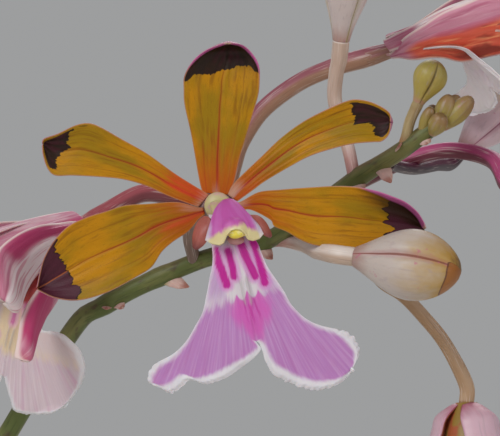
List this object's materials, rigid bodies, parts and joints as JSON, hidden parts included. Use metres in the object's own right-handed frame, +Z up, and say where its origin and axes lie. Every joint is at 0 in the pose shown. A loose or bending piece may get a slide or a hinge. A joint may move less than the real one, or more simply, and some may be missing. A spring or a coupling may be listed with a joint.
{
  "type": "potted psychilis atropurpurea",
  "caption": "Potted orchid: pseudobulbs with strap leaves in a plain clay pot, and an arching stem with ochre-yellow blooms, pink lips and buds.",
  "frame": {"origin": "centre of the pot's flat underside, on the surface it stands on", "axes": "+Z up; the main bloom faces -Y and the flower stem arches towards +X"},
  "size_m": [0.2631, 0.2113, 0.4742],
  "materials": {
    "terracotta": "unglazed, dull",
    "bark": "rough pine bark pieces",
    "root": "dull, silvery white",
    "pseudobulb": "smooth, lightly waxy",
    "leaf": "smooth, leathery, satin",
    "flower_stem": "smooth, satin",
    "ochre_tepal": "soft, slightly waxy petal",
    "lip": "soft, slightly waxy petal",
    "aged_bloom": "soft, wilting petal",
    "bud": "soft, slightly waxy",
    "green_bud": "soft, slightly waxy"
  },
  "bodies": {
    "root": {"pot": "terracotta", "potting_medium": "bark", "rhizome_and_roots": "root", "pseudobulb_1": "pseudobulb", "pseudobulb_2": "pseudobulb", "pseudobulb_3": "pseudobulb", "pseudobulb_4": "pseudobulb", "pseudobulb_5": "pseudobulb", "leaf_2_1": "leaf", "leaf_2_2": "leaf", "leaf_3_1": "leaf", "leaf_3_2": "leaf", "leaf_4_1": "leaf", "leaf_4_2": "leaf", "leaf_5_1": "leaf", "leaf_5_2": "leaf", "leaf_5_3": "leaf", "flower_stem": "flower_stem", "main_bloom_tepals": "ochre_tepal", "main_bloom_lip_and_column": "lip", "left_bloom": "aged_bloom", "top_bloom": "aged_bloom", "right_bloom_tepals": "ochre_tepal", "right_bloom_lip_and_column": "lip", "upper_bud": "bud", "front_bud": "bud", "lower_bud": "bud", "rear_bud": "bud", "small_bud": "green_bud"}
  },
  "joints": []
}
